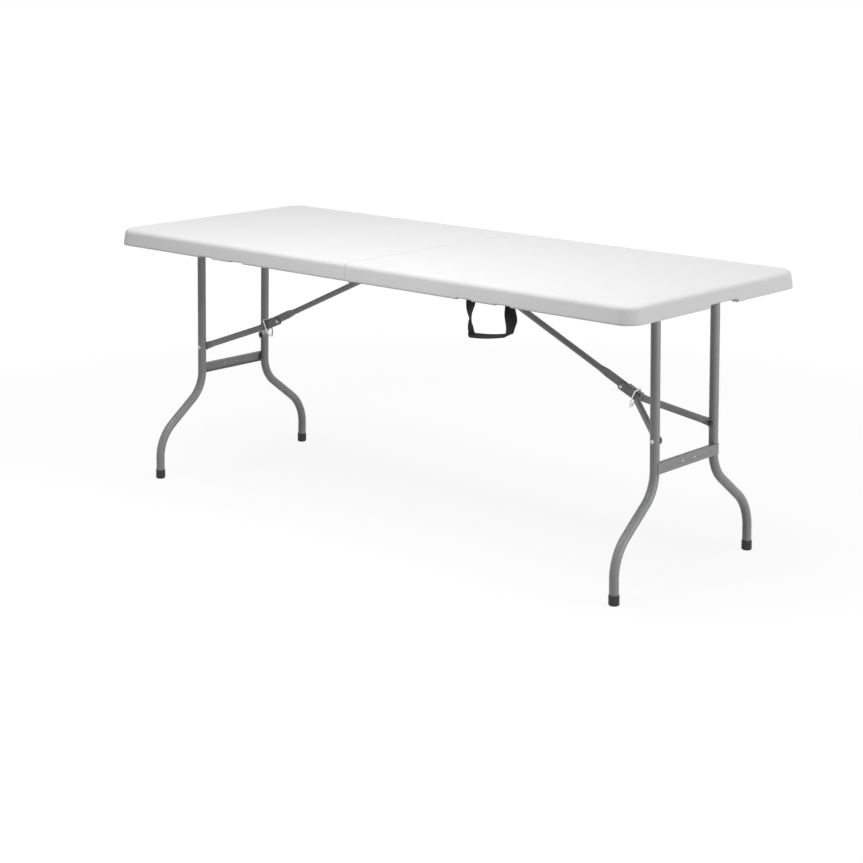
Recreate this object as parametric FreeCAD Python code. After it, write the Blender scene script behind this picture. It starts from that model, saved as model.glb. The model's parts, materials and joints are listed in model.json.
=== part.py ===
import FreeCAD, Part
import math
import os

# Folding buffet table: a moulded plastic top in two halves that hinge at the middle, and
# two pairs of bent steel legs that fold under the halves on jointed braces.
# Millimetres. Origin on the floor under the middle of the top, +X along the length,
# -Y towards the side with the carrying strap, +Z up.

V = FreeCAD.Vector
ORIGIN = V(0, 0, 0)
AXIS_X = V(1, 0, 0)
AXIS_Y = V(0, 1, 0)
AXIS_Z = V(0, 0, 1)

# Overall sizes
table_length = 1800.0
table_width = 720.0
table_height = 738.0

# Moulded top
rim_depth = 46.0
panel_thickness = 18.0
rim_wall = 20.0
rim_draft = 4.0
skirt_lean = 8.0
edge_roundover = 15.0
rim_lip_radius = 3.0
corner_radius = 48.0
bay_corner_radius = 24.0
fold_gap = 1.0
fold_wall = 16.0
fold_edge_radius = 1.5

# Pockets moulded into the underside
waffle_size = 26.0
waffle_draft = 4.0
waffle_depth = 5.0
waffle_pitch = 62.0
waffle_margin = 20.0

# Notches in the rim
strap_notch_width = 48.0
strap_notch_depth = 3.5
finger_notch_width = 122.0
finger_notch_depth = 9.0
finger_notch_radius = 8.0
finger_notch_offset = 15.0

# Steel side rails under the top
rail_thickness = 2.0
rail_flange = 20.0
rail_bend_radius = 3.0
rail_lift = 2.0
rail_clearance = 3.0
rail_end_gap = 2.0
rail_tail = 42.0
rail_screw_margin = 70.0
rail_screw_count = 4

# Centre hinges
hinge_leaf_thickness = 3.0
hinge_leaf_length = 74.0
hinge_leaf_height = 15.0
hinge_leaf_drop = 6.0
hinge_eye_radius = 9.0
hinge_pin_radius = 4.0
hinge_pin_head_radius = 7.0
hinge_pin_head = 1.5
hinge_slot_margin = 5.0
hinge_rivet_radius = 3.5
hinge_rivet_shares = (0.45, 0.85)

# Leg frames
leg_diameter = 24.0
tube_wall = 1.2
leg_pivot_inset = 99.0
leg_pivot_lift = 14.0
leg_splay = 22.3
leg_spacing = 254.0
foot_spacing = 582.0
bend_top = 297.0
bend_bottom = 62.0
upper_bend_radius = 100.0
lower_bend_radius = 120.0
cross_tube_gap = 19.0
pivot_pin_radius = 7.0
pivot_plug_length = 15.0
pivot_flange = 3.0
pivot_pin_tail = 3.0

# Crossbar between the legs
crossbar_height = 28.0
crossbar_level = 303.0
crossbar_thickness = 1.5
crossbar_depth = 11.5
crossbar_overlap = 4.0
crossbar_rivet_spacing = 50.0
crossbar_rivet_radius = 3.0
crossbar_crease_height = 8.0
crossbar_crease_depth = 0.8
crossbar_crease_margin = 18.0

# Foot caps
foot_cap_wall = 1.5
foot_cap_height = 26.0
foot_cap_floor = 4.0
foot_cap_chamfer = 2.0

# Folding braces
strut_diameter = 16.0
strut_pivot_x = 75.0
strut_pivot_drop = 11.0
strut_pin_radius = 4.0
brace_level = 370.0
over_centre = 4.6
fold_clearance = 1.0
knee_offset = 5.0
knee_search_share = 0.9
knee_rivet_radius = 4.0
knee_head_radius = 5.5
knee_head = 2.5
blade_thickness = 5.0
blade_rise = 12.0
blade_fall = 10.5
blade_run = 52.0
blade_flare = 26.0
tongue_length = 62.0
tongue_lip_start = 16.0
tongue_lip_reach = 4.5
tongue_lip_thickness = 2.0
tongue_tip_lift = 2.5
tongue_tip_length = 6.0

# Brace arms
arm_height = 18.0
arm_thickness = 10.0
arm_tab_thickness = 2.5
arm_tab_rise = 13.5
arm_tab_fall = 9.5
arm_tab_length = 48.0
arm_flare = 18.0
arm_foot_thickness = 3.0
arm_foot_height = 22.0
arm_foot_flare = 16.0
arm_cap_radius = 6.0
arm_cap_height = 6.5
brace_rivet_radius = 3.5
brace_rivet_head_radius = 5.5
brace_rivet_head = 2.5

# Lock rings
ring_wire = 5.0
ring_rest = 47.0
ring_drop = 23.0
ring_clearance = 0.5
ring_bend_radius = 4.0

# Strut brackets
bracket_sheet = 2.0
bracket_length = 60.0
bracket_width = 60.0
bracket_ear_length = 26.0
bracket_ear_drop = 9.0
bracket_gap = 0.5

# Carrying strap
strap_x = 462.5
strap_spacing = 121.0
strap_width = 30.0
strap_thickness = 3.0
strap_drop = 84.0
strap_bend_radius = 14.0
strap_twist_length = 66.0
strap_twist_steps = 6
strap_end_height = 20.0
clamp_plate_thickness = 1.5
clamp_plate_height = 14.0

# Screws
screw_head_radius = 4.0
screw_head = 2.5
screw_radius = 2.0

# Fits and cuts
clearance = 0.3
running_fit = 0.05
overrun = 2.0
groove_margin = 1.5
groove_half_width = 22.0
groove_end_margin = 8.0
solver_steps = 60

# Places worked out from the sizes above
half_length = table_length / 2
half_width = table_width / 2
rim_bottom = table_height - rim_depth
panel_under = table_height - panel_thickness
bay_depth = panel_under - rim_bottom
fold_face = fold_gap / 2
bay_start = fold_face + fold_wall

rail_outer = half_width - rim_wall - rim_draft - rail_clearance
rail_inner = rail_outer - rail_thickness
rail_bottom = rim_bottom + rail_lift
rail_start = bay_start + rim_draft + rail_end_gap

leg_radius = leg_diameter / 2
leg_y = leg_spacing / 2
foot_y = foot_spacing / 2
pivot = V(half_length - leg_pivot_inset, 0, rim_bottom + leg_pivot_lift)
splay_angle = math.atan2(leg_splay, pivot.z)
leg_length = pivot.z / math.cos(splay_angle)
fold_angle = math.pi / 2 + splay_angle
rail_end = pivot.x + rail_tail
cross_tube_half = rail_inner - cross_tube_gap

strut_radius = strut_diameter / 2
strut_pivot = V(strut_pivot_x, 0, panel_under - strut_pivot_drop)
brace_reach = (pivot.z - brace_level) / math.cos(splay_angle)
brace_end = V(pivot.x + brace_reach * math.sin(splay_angle), 0, brace_level)
brace_end_folded = V(pivot.x - brace_reach, 0, pivot.z)
crossbar_reach = (pivot.z - crossbar_level) / math.cos(splay_angle)
crossbar_web = leg_radius
crossbar_edge = crossbar_web + crossbar_thickness - crossbar_depth
crossbar_folded_x = pivot.x - crossbar_reach


def circle_meeting(first, first_radius, second, second_radius, side):
    # the point at both distances, on the upper (+1) or lower (-1) side of the line between
    line = second - first
    span = line.Length
    along = (first_radius ** 2 - second_radius ** 2 + span ** 2) / (2 * span)
    height = math.sqrt(max(first_radius ** 2 - along ** 2, 0))
    unit = line / span
    upward = V(-unit.z, 0, unit.x)
    return first + unit * along + upward * (height * side)


def brace_for(knee_share):
    # the knee lies just below the straight line of the open brace, at a share of its span
    line = brace_end - strut_pivot
    unit = line / line.Length
    knee = strut_pivot + line * knee_share - V(-unit.z, 0, unit.x) * over_centre
    strut_reach = (knee - strut_pivot).Length
    arm_reach = (brace_end - knee).Length
    folded_span = (brace_end_folded - strut_pivot).Length
    closes = abs(strut_reach - arm_reach) < folded_span
    folded = circle_meeting(strut_pivot, strut_reach, brace_end_folded, arm_reach, 1) if closes else None
    return knee, folded, strut_reach, arm_reach


def axis_angle(knee, strut_reach):
    # direction of the strut's tube, which passes above its knee rivet
    line = knee - strut_pivot
    return math.atan2(line.z, line.x) + math.asin(knee_offset / strut_reach)


def fold_height(knee_share):
    # height of the folded strut's lower side over the near edge of the folded crossbar
    knee, folded, strut_reach, arm_reach = brace_for(knee_share)
    if folded is None:
        return -table_height
    angle = axis_angle(folded, strut_reach)
    near_edge = crossbar_folded_x - crossbar_height / 2
    return strut_pivot.z + (near_edge - strut_pivot.x) * math.tan(angle) - strut_radius / math.cos(angle)


def solve_knee():
    # the share of the open span at which the folded strut just clears the crossbar
    span = (brace_end - strut_pivot).Length
    folded_span = (brace_end_folded - strut_pivot).Length
    high_share = (span + folded_span) / (2 * span)
    low_share = high_share * knee_search_share
    target = pivot.z - crossbar_edge + fold_clearance
    for step in range(solver_steps):
        middle_share = (low_share + high_share) / 2
        if fold_height(middle_share) > target:
            low_share = middle_share
        else:
            high_share = middle_share
    return high_share


knee, knee_folded, strut_reach, arm_reach = brace_for(solve_knee())
strut_angle = axis_angle(knee, strut_reach)
strut_angle_folded = axis_angle(knee_folded, strut_reach)
knee_along = math.sqrt(strut_reach ** 2 - knee_offset ** 2)
arm_line = brace_end - knee
arm_angle = math.atan2(arm_line.z, arm_line.x)
arm_line_folded = brace_end_folded - knee_folded
arm_angle_folded = math.atan2(arm_line_folded.z, arm_line_folded.x)

# Plain solids
def block(low, high):
    size = high - low
    return Part.makeBox(size.x, size.y, size.z, low)


def rod(radius, start, end):
    line = end - start
    return Part.makeCylinder(radius, line.Length, start, line)


def tube(radius, bore, start, end):
    return rod(radius, start, end).cut(rod(bore, start, end))


def prism(points, along):
    outline = Part.makePolygon(points + [points[0]])
    return Part.Face(outline).extrude(along)


def rounded_rectangle(center, half_u, half_v, radius, axis_u, axis_v):
    # eight edges: four sides joined by quarter arcs
    def place(u, v):
        return center + axis_u * u + axis_v * v

    edges = []
    diagonal = math.sqrt(0.5)
    corners = ((1, 1), (-1, 1), (-1, -1), (1, -1))
    for index, (side_u, side_v) in enumerate(corners):
        core_u = (half_u - radius) * side_u
        core_v = (half_v - radius) * side_v
        outer_u = place(core_u + radius * side_u, core_v)
        outer_v = place(core_u, core_v + radius * side_v)
        middle = place(core_u + radius * diagonal * side_u, core_v + radius * diagonal * side_v)
        first, last = (outer_u, outer_v) if index % 2 == 0 else (outer_v, outer_u)
        edges.append((first, middle, last))
    pieces = []
    for index, (first, middle, last) in enumerate(edges):
        pieces.append(Part.Arc(first, middle, last).toShape())
        following = edges[(index + 1) % len(edges)][0]
        pieces.append(Part.LineSegment(last, following).toShape())
    return Part.Wire(pieces)


def ruled(wires):
    return Part.makeLoft(wires, True, True)


def mirror_x(shape):
    return shape.mirror(ORIGIN, AXIS_X)


def mirror_y(shape):
    return shape.mirror(ORIGIN, AXIS_Y)


def pair_y(shape):
    return Part.makeCompound([shape, mirror_y(shape)])


def fused(shapes):
    return shapes[0].fuse(shapes[1:]).removeSplitter()


def dome_head(radius, height, base, outward):
    # a low domed rivet head standing on a flat seat
    direction = outward / outward.Length
    across = direction.cross(AXIS_X + AXIS_Z)
    across = across / across.Length
    sphere_radius = (radius ** 2 + height ** 2) / (2 * height)
    center = base - direction * (sphere_radius - height)
    half_angle = math.asin(radius / sphere_radius) / 2
    edge = base + across * radius
    middle = center + direction * (sphere_radius * math.cos(half_angle)) + across * (
        sphere_radius * math.sin(half_angle))
    crown = base + direction * height
    outline = Part.Wire([
        Part.LineSegment(base, edge).toShape(),
        Part.Arc(edge, middle, crown).toShape(),
        Part.LineSegment(crown, base).toShape(),
    ])
    return Part.Face(outline).revolve(base, direction, 360)


# Moulded top
def skirt_wire(inset, level):
    center = V(0, 0, level)
    return rounded_rectangle(center, half_length - inset, half_width - inset, corner_radius - inset,
                             AXIS_X, AXIS_Y)


def edges_at(shape, level):
    flat = []
    for edge in shape.Edges:
        if all(abs(vertex.Z - level) < running_fit for vertex in edge.Vertexes):
            flat.append(edge)
    return flat


def bay_wire(level):
    # inside of the rim at one height, leaning with the mould's draft
    lean = rim_draft * (level - rim_bottom) / bay_depth
    low_x = bay_start + lean
    high_x = half_length - rim_wall - lean
    center = V((low_x + high_x) / 2, 0, level)
    return rounded_rectangle(center, (high_x - low_x) / 2, half_width - rim_wall - lean,
                             bay_corner_radius, AXIS_X, AXIS_Y)


ring_folded_along = (knee_along - (knee_folded.x - crossbar_folded_x) - crossbar_height
                     - ring_wire - leg_diameter)
ring_travel = knee_along + ring_rest - ring_folded_along
tongue_folded_top = (strut_pivot.z + (knee_along + tongue_length) * math.sin(strut_angle_folded)
                     + blade_rise + tongue_tip_lift)
ring_folded_top = (strut_pivot.z + ring_folded_along * math.sin(strut_angle_folded)
                   + blade_rise + ring_clearance + ring_wire)
groove_ceiling = max(tongue_folded_top, ring_folded_top) + groove_margin
groove_end = knee_folded.x + tongue_length + groove_end_margin
strut_folded_room = panel_under - strut_pivot.z - strut_radius - groove_margin
groove_start = strut_pivot.x + strut_folded_room / math.tan(strut_angle_folded)
wedge_top = knee_folded.z + max(arm_tab_fall, arm_height / 2) + groove_margin
arm_tab_y = blade_thickness / 2 + clearance + arm_tab_thickness / 2
arm_foot_y = leg_y - leg_radius - clearance - arm_foot_thickness / 2
arm_foot_start = arm_reach - arm_foot_flare / 2
arm_slope = (arm_foot_y - arm_tab_y) / (arm_foot_start - arm_tab_length)


def brace_groove():
    # room for the folded brace: a channel for the strut and a wedge for the arms
    low = panel_under - overrun
    channel = block(V(groove_start, -groove_half_width, low), V(groove_end, groove_half_width, groove_ceiling))
    wide_x = brace_end_folded.x + arm_foot_flare
    neck_x = knee_folded.x - arm_tab_length
    wide_y = (neck_x - wide_x) * arm_slope + groove_half_width
    outline = [V(groove_end, -groove_half_width, low), V(groove_end, groove_half_width, low),
               V(neck_x, groove_half_width, low), V(wide_x, wide_y, low),
               V(wide_x, -wide_y, low), V(neck_x, -groove_half_width, low)]
    return channel, prism(outline, AXIS_Z * (wedge_top - low))


def waffle(center_x, center_y):
    # a drafted square pocket in the underside
    half = waffle_size / 2
    inner = half - waffle_draft
    lean = waffle_draft * overrun / waffle_depth

    def square(size, level):
        corners = [V(center_x + size * side_x, center_y + size * side_y, level)
                   for side_x, side_y in ((-1, -1), (1, -1), (1, 1), (-1, 1))]
        return Part.makePolygon(corners + [corners[0]])

    return ruled([square(half + lean, panel_under - overrun), square(inner, panel_under + waffle_depth)])


def waffle_places(blocked):
    # a grid over the bay, without the places that the grooves and fittings take
    low_x = bay_start + rim_draft + waffle_margin + waffle_size
    high_x = half_length - rim_wall - rim_draft - waffle_margin - waffle_size
    reach_y = rail_inner - rail_flange - waffle_size
    columns = int((high_x - low_x) / waffle_pitch)
    rows = int(reach_y / waffle_pitch)
    start_x = (low_x + high_x - columns * waffle_pitch) / 2
    places = []
    for column in range(columns + 1):
        for row in range(-rows, rows + 1):
            x = start_x + column * waffle_pitch
            y = row * waffle_pitch
            half = waffle_size / 2 + waffle_margin / 2
            area = block(V(x - half, y - half, panel_under), V(x + half, y + half, panel_under + waffle_depth))
            if not any(area.common(solid).Volume > 0 for solid in blocked):
                places.append((x, y))
    return places


def strap_places():
    return (strap_x - strap_spacing / 2, strap_x + strap_spacing / 2)


def top_half():
    # right half of the top
    lean_angle = math.atan2(skirt_lean, rim_depth)
    lip_setback = rim_lip_radius * (math.tan(lean_angle) + 1 / math.cos(lean_angle) - 1)
    shell = ruled([skirt_wire(-lip_setback, rim_bottom), skirt_wire(skirt_lean - lip_setback, table_height)])
    shell = shell.makeFillet(edge_roundover, edges_at(shell, table_height))
    shell = shell.makeFillet(rim_lip_radius, edges_at(shell, rim_bottom))
    half = shell.common(block(V(fold_face, -table_width, 0), V(table_length, table_width, table_height + overrun)))
    fold_edges = [edge for edge in edges_at(half, table_height)
                  if all(abs(vertex.X - fold_face) < running_fit for vertex in edge.Vertexes)]
    half = half.makeFillet(fold_edge_radius, fold_edges)
    bay = ruled([bay_wire(rim_bottom - overrun), bay_wire(panel_under)])
    cuts = [bay]
    channel, wedge = brace_groove()
    cuts += [channel, wedge]
    base = block(V(strut_pivot.x - bracket_length / 2, -bracket_width / 2, panel_under - overrun),
                 V(strut_pivot.x + bracket_length / 2, bracket_width / 2, panel_under + waffle_depth))
    cuts += [waffle(x, y) for x, y in waffle_places([channel, wedge, base])]
    slot_low = rail_inner - hinge_leaf_thickness - hinge_pin_head - hinge_slot_margin
    slot_high = rail_outer + hinge_leaf_thickness + hinge_pin_head + hinge_slot_margin
    slot_end = bay_start + rim_draft + bay_corner_radius
    slot = block(V(0, -slot_high, rim_bottom - overrun), V(slot_end, -slot_low, panel_under))
    cuts += [slot, mirror_y(slot)]
    for x in strap_places():
        cuts.append(block(V(x - strap_notch_width / 2, -half_width - overrun, rim_bottom - overrun),
                          V(x + strap_notch_width / 2, -rail_outer, rim_bottom + strap_notch_depth)))
    cuts.append(finger_notch())
    return half.cut(cuts)


def finger_notch():
    # rounded hollow in the end rim for lifting
    center = V(half_length - rim_wall, finger_notch_offset, rim_bottom)
    outline = rounded_rectangle(center, finger_notch_width / 2, finger_notch_depth, finger_notch_radius,
                                AXIS_Y, AXIS_Z)
    reach = rim_wall + rim_draft + overrun
    return Part.Face(outline).extrude(AXIS_X * (2 * reach)).translated(AXIS_X * -reach)


# Side rails and centre hinges
def rail():
    # front right rail: an angle with its flange under the panel
    flange_end = rail_outer - rail_flange
    outer = block(V(rail_start, -rail_outer, rail_bottom), V(rail_end, -flange_end, panel_under))
    inner = block(V(rail_start - overrun, -rail_inner, rail_bottom - overrun),
                  V(rail_end + overrun, -flange_end + overrun, panel_under - rail_thickness))
    bend_edges = [edge for edge in inner.Edges
                  if all(abs(vertex.Y + rail_inner) < running_fit
                         and abs(vertex.Z - panel_under + rail_thickness) < running_fit for vertex in edge.Vertexes)]
    angle = outer.cut(inner.makeFillet(rail_bend_radius, bend_edges))
    holes = [rod(pivot_pin_radius + running_fit, V(pivot.x, -rail_outer - overrun, pivot.z),
                 V(pivot.x, -rail_inner + overrun, pivot.z))]
    holes += [rod(screw_radius, V(x, y, panel_under - rail_thickness - overrun), V(x, y, panel_under + overrun))
              for x, y in rail_screw_places()]
    return angle.cut(holes)


def rail_screw_places():
    low = rail_start + rail_screw_margin
    high = rail_end - rail_screw_margin
    step = (high - low) / (rail_screw_count - 1)
    y = -rail_outer + rail_flange - screw_head_radius - rail_thickness
    return [(low + step * index, y) for index in range(rail_screw_count)]


def screw_up(x, y, seat, length):
    # pan-head screw driven upwards, its head under the seat
    head = rod(screw_head_radius, V(x, y, seat - screw_head), V(x, y, seat))
    shank = rod(screw_radius, V(x, y, seat), V(x, y, seat + length))
    rim = edges_at(head, seat - screw_head)
    return head.makeFillet(screw_head / 2, rim).fuse(shank)


def rail_screws():
    seat = panel_under - rail_thickness
    screws = [screw_up(x, y, seat, rail_thickness) for x, y in rail_screw_places()]
    return Part.makeCompound(screws + [mirror_y(screw) for screw in screws])


def hinge_leaf(face, bore):
    # leaf on a rail's web: an eye at the fold line and an arm along the rail
    top = panel_under - rail_thickness - hinge_leaf_drop
    low = top - hinge_leaf_height
    eye = rod(hinge_eye_radius, V(0, face, rim_bottom), V(0, face + hinge_leaf_thickness, rim_bottom))
    tip = hinge_leaf_length - hinge_leaf_height / 2
    outline = [V(-hinge_eye_radius, face, rim_bottom), V(hinge_eye_radius, face, rim_bottom),
               V(hinge_eye_radius + hinge_leaf_height / 2, face, low), V(tip, face, low),
               V(tip, face, top), V(0, face, top)]
    arm = prism(outline, AXIS_Y * hinge_leaf_thickness)
    end = rod(hinge_leaf_height / 2, V(tip, face, (low + top) / 2),
              V(tip, face + hinge_leaf_thickness, (low + top) / 2))
    leaf = fused([eye, arm, end])
    hole = rod(bore, V(0, face - overrun, rim_bottom), V(0, face + hinge_leaf_thickness + overrun, rim_bottom))
    return leaf.cut(hole)


def hinge_rivets(face, outward):
    # domed heads on the leaf, over the rail
    level = panel_under - rail_thickness - hinge_leaf_drop - hinge_leaf_height / 2
    heads = []
    for share in hinge_rivet_shares:
        seat = V(hinge_leaf_length * share, face, level)
        heads.append(dome_head(hinge_rivet_radius, hinge_pin_head, seat, outward))
    return heads


inner_leaf_face = -rail_inner
outer_leaf_face = -rail_outer - hinge_leaf_thickness


def hinge_pin():
    # front hinge pin, headed at both ends
    low = outer_leaf_face
    high = inner_leaf_face + hinge_leaf_thickness + clearance
    pin = rod(hinge_pin_radius, V(0, low, rim_bottom), V(0, high, rim_bottom))
    heads = [dome_head(hinge_pin_head_radius, hinge_pin_head, V(0, low, rim_bottom), -AXIS_Y),
             dome_head(hinge_pin_head_radius, hinge_pin_head, V(0, high, rim_bottom), AXIS_Y)]
    return fused([pin] + heads)


# Leg frames
def splayed(shape):
    # turns a leg frame from hanging straight down to its splay
    result = shape.copy()
    result.rotate(pivot, AXIS_Y, -math.degrees(splay_angle))
    return result


def leg_level(level):
    # distance below the pivot, along the leg, of a height above the floor
    return pivot.z - (pivot.z - level) / math.cos(splay_angle)


def bend_angle(shift, height):
    # slope of the straight run between the two bends of the leg
    reach = upper_bend_radius + lower_bend_radius
    low = 0.0
    high = math.pi / 2
    for step in range(solver_steps):
        angle = (low + high) / 2
        if reach * (1 - math.cos(angle)) + (height - reach * math.sin(angle)) * math.tan(angle) < shift:
            low = angle
        else:
            high = angle
    return high


def leg_path(end_level):
    # front leg, hanging straight: down, out through two bends, down to the foot
    top = leg_level(bend_top)
    bottom = leg_level(bend_bottom)
    slope = bend_angle(foot_y - leg_y, top - bottom)

    def on_upper(angle):
        return V(pivot.x, -leg_y - upper_bend_radius * (1 - math.cos(angle)),
                 top - upper_bend_radius * math.sin(angle))

    def on_lower(angle):
        return V(pivot.x, -foot_y + lower_bend_radius * (1 - math.cos(angle)),
                 bottom + lower_bend_radius * math.sin(angle))

    start = V(pivot.x, -leg_y, pivot.z)
    end = V(pivot.x, -foot_y, end_level)
    return Part.Wire([
        Part.LineSegment(start, on_upper(0)).toShape(),
        Part.Arc(on_upper(0), on_upper(slope / 2), on_upper(slope)).toShape(),
        Part.LineSegment(on_upper(slope), on_lower(slope)).toShape(),
        Part.Arc(on_lower(slope), on_lower(slope / 2), on_lower(0)).toShape(),
        Part.LineSegment(on_lower(0), end).toShape(),
    ])


def swept(path, radius, start):
    profile = Part.Wire(Part.makeCircle(radius, start, AXIS_Z))
    return path.makePipeShell([profile], True, False)


foot_end = pivot.z - leg_length


def leg():
    # front leg tube, notched at the top to sit on the cross tube
    path = leg_path(foot_end + foot_cap_floor)
    start = V(pivot.x, -leg_y, pivot.z)
    outer = swept(path, leg_radius, start)
    bore = swept(path, leg_radius - tube_wall, start)
    seat = rod(leg_radius, V(pivot.x, -leg_y - leg_diameter, pivot.z), V(pivot.x, -leg_y + leg_diameter, pivot.z))
    rivet_y = -leg_y - leg_radius - overrun
    hole = rod(brace_rivet_radius, V(pivot.x, rivet_y, pivot.z - brace_reach),
               V(pivot.x, -leg_y + leg_radius + overrun, pivot.z - brace_reach))
    return splayed(outer.cut([bore, seat, hole]))


def foot_cap():
    # plastic cup on the foot, cut level with the floor
    low = V(pivot.x, -foot_y, foot_end - leg_diameter)
    floor = V(pivot.x, -foot_y, foot_end + foot_cap_floor)
    top = V(pivot.x, -foot_y, foot_end + foot_cap_height)
    cup = rod(leg_radius + foot_cap_wall, low, top)
    cup = cup.makeChamfer(foot_cap_wall / 2, edges_at(cup, top.z))
    cup = cup.cut(rod(leg_radius, floor, top + AXIS_Z * overrun))
    cup = splayed(cup)
    ground = block(V(0, -table_width, -table_height), V(table_length, table_width, 0))
    cup = cup.cut(ground)
    return cup.makeChamfer(foot_cap_chamfer, edges_at(cup, 0))


def leg_cross_tube():
    ends = V(0, cross_tube_half, 0)
    return tube(leg_radius, leg_radius - tube_wall, pivot - ends, pivot + ends)


def pivot_pin():
    # front plug of the cross tube, with the pin that turns in the rail
    end = V(pivot.x, -cross_tube_half, pivot.z)
    plug = rod(leg_radius - tube_wall, end + AXIS_Y * pivot_plug_length, end)
    flange = rod(leg_radius, end, end - AXIS_Y * pivot_flange)
    tip = V(pivot.x, -rail_outer - pivot_pin_tail + clearance, pivot.z)
    pin = rod(pivot_pin_radius, end, tip)
    return fused([plug, flange, pin])


def crossbar():
    # shallow channel on the outer side of the legs, open towards the middle of the table
    middle = pivot.z - crossbar_reach
    low = middle - crossbar_height / 2
    high = middle + crossbar_height / 2
    face = pivot.x + crossbar_web
    back = face + crossbar_thickness
    reach = leg_y + crossbar_overlap
    flange_reach = leg_y - leg_radius - clearance
    web = block(V(face, -reach, low), V(back, reach, high))
    body = block(V(back - crossbar_depth, -flange_reach, low), V(back, flange_reach, high))
    hollow = block(V(back - crossbar_depth - overrun, -flange_reach - overrun, low + crossbar_thickness),
                   V(face, flange_reach + overrun, high - crossbar_thickness))
    bar = fused([web, body.cut(hollow)])
    crease_reach = flange_reach - crossbar_crease_margin
    center = V(back - crossbar_crease_depth, 0, middle)
    crease = Part.Face(rounded_rectangle(center, crease_reach, crossbar_crease_height / 2,
                                         crossbar_crease_height / 3, AXIS_Y, AXIS_Z)).extrude(AXIS_X * overrun)
    holes = [rod(crossbar_rivet_radius / 2, V(face - overrun, y, middle), V(back + overrun, y, middle))
             for y in (-crossbar_rivet_spacing / 2, crossbar_rivet_spacing / 2)]
    return splayed(bar.cut([crease] + holes))


def crossbar_rivets():
    middle = pivot.z - crossbar_reach
    seat = pivot.x + crossbar_web + crossbar_thickness - crossbar_crease_depth
    inside = pivot.x + crossbar_web
    rivets = []
    for y in (-crossbar_rivet_spacing / 2, crossbar_rivet_spacing / 2):
        head = dome_head(crossbar_rivet_radius, crossbar_thickness, V(seat, y, middle), AXIS_X)
        shank = rod(crossbar_rivet_radius / 2, V(inside, y, middle), V(seat, y, middle))
        tail = dome_head(crossbar_rivet_radius, crossbar_thickness, V(inside, y, middle), -AXIS_X)
        rivets.append(splayed(fused([head, shank, tail])))
    return Part.makeCompound(rivets)


def leg_rivet():
    # outer half of the brace rivet in the front leg
    level = pivot.z - brace_reach
    outer = V(pivot.x, -leg_y - leg_radius, level)
    inner = V(pivot.x, -leg_y + leg_radius, level)
    head = dome_head(brace_rivet_head_radius, brace_rivet_head, outer, -AXIS_Y)
    collar = rod(brace_rivet_head_radius, outer, outer + AXIS_Y * brace_rivet_head)
    barrel = rod(leg_radius, V(pivot.x, -leg_y, level - leg_radius), V(pivot.x, -leg_y, level + leg_radius))
    return splayed(fused([head, collar.cut(barrel), rod(brace_rivet_radius, outer, inner)]))


# Braces. A strut is drawn along +X from its pivot, then turned to its slope.
def along_strut(shape):
    result = shape.copy()
    result.rotate(ORIGIN, AXIS_Y, -math.degrees(strut_angle))
    result.translate(strut_pivot)
    return result


def strut():
    # tube with a rounded pivot end, flattened into a blade that runs past the knee
    blade_start = knee_along - blade_run
    flare_start = blade_start - blade_flare
    blade_middle = (blade_rise - blade_fall) / 2
    blade_half = (blade_rise + blade_fall) / 2
    tongue_end = knee_along + tongue_length
    round_section = rounded_rectangle(V(flare_start, 0, 0), strut_radius, strut_radius,
                                      strut_radius - running_fit, AXIS_Y, AXIS_Z)
    flat_section = rounded_rectangle(V(blade_start, 0, blade_middle), blade_thickness / 2, blade_half,
                                     blade_thickness / 3, AXIS_Y, AXIS_Z)
    barrel = rod(strut_radius, ORIGIN, V(flare_start, 0, 0))
    bore = rod(strut_radius - tube_wall, V(strut_radius, 0, 0), V(flare_start - blade_flare / 2, 0, 0))
    heel = rod(strut_radius, V(0, -strut_radius, 0), V(0, strut_radius, 0))
    sleeve = rod(strut_radius, V(-strut_radius, 0, 0), V(strut_radius, 0, 0))
    flare = ruled([round_section, flat_section])
    blade_end = rounded_rectangle(V(tongue_end, 0, blade_middle), blade_thickness / 2, blade_half,
                                  blade_thickness / 3, AXIS_Y, AXIS_Z)
    blade = ruled([flat_section, blade_end])
    lip_start = knee_along + tongue_lip_start
    lip_y = blade_thickness / 2 + tongue_lip_reach
    lip_low = blade_rise - tongue_lip_thickness
    lip = block(V(lip_start, -lip_y, lip_low), V(tongue_end, lip_y, blade_rise))
    tip_start = tongue_end - tongue_tip_length
    tip = prism([V(tip_start, -lip_y, blade_rise), V(tongue_end, -lip_y, blade_rise),
                 V(tongue_end, -lip_y, blade_rise + tongue_tip_lift)], AXIS_Y * (2 * lip_y))
    tail = fused([flare, blade, lip, tip])
    trim = prism([V(knee_along + tongue_lip_start, -lip_y, -blade_fall - overrun),
                  V(tongue_end + overrun, -lip_y, -blade_fall - overrun),
                  V(tongue_end + overrun, -lip_y, 0)], AXIS_Y * (2 * lip_y))
    body = fused([barrel.cut(bore), heel.common(sleeve), tail.cut(trim)])
    pin_hole = rod(strut_pin_radius + running_fit, V(0, -strut_diameter, 0), V(0, strut_diameter, 0))
    knee_hole = rod(knee_rivet_radius, V(knee_along, -strut_diameter, -knee_offset),
                    V(knee_along, strut_diameter, -knee_offset))
    return along_strut(body.cut([pin_hole, knee_hole]))


def knee_rivet():
    # held in the blade, with a head outside each arm
    seat = arm_tab_y + arm_tab_thickness / 2 + clearance
    center = V(knee_along, 0, -knee_offset)
    shank = rod(knee_rivet_radius, center - AXIS_Y * seat, center + AXIS_Y * seat)
    heads = [dome_head(knee_head_radius, knee_head, center + AXIS_Y * seat, AXIS_Y),
             dome_head(knee_head_radius, knee_head, center - AXIS_Y * seat, -AXIS_Y)]
    return along_strut(fused([shank] + heads))


def along_arm(shape):
    # an arm is drawn along +X from the knee
    result = shape.copy()
    result.rotate(ORIGIN, AXIS_Y, -math.degrees(arm_angle))
    result.translate(knee)
    return result


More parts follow.
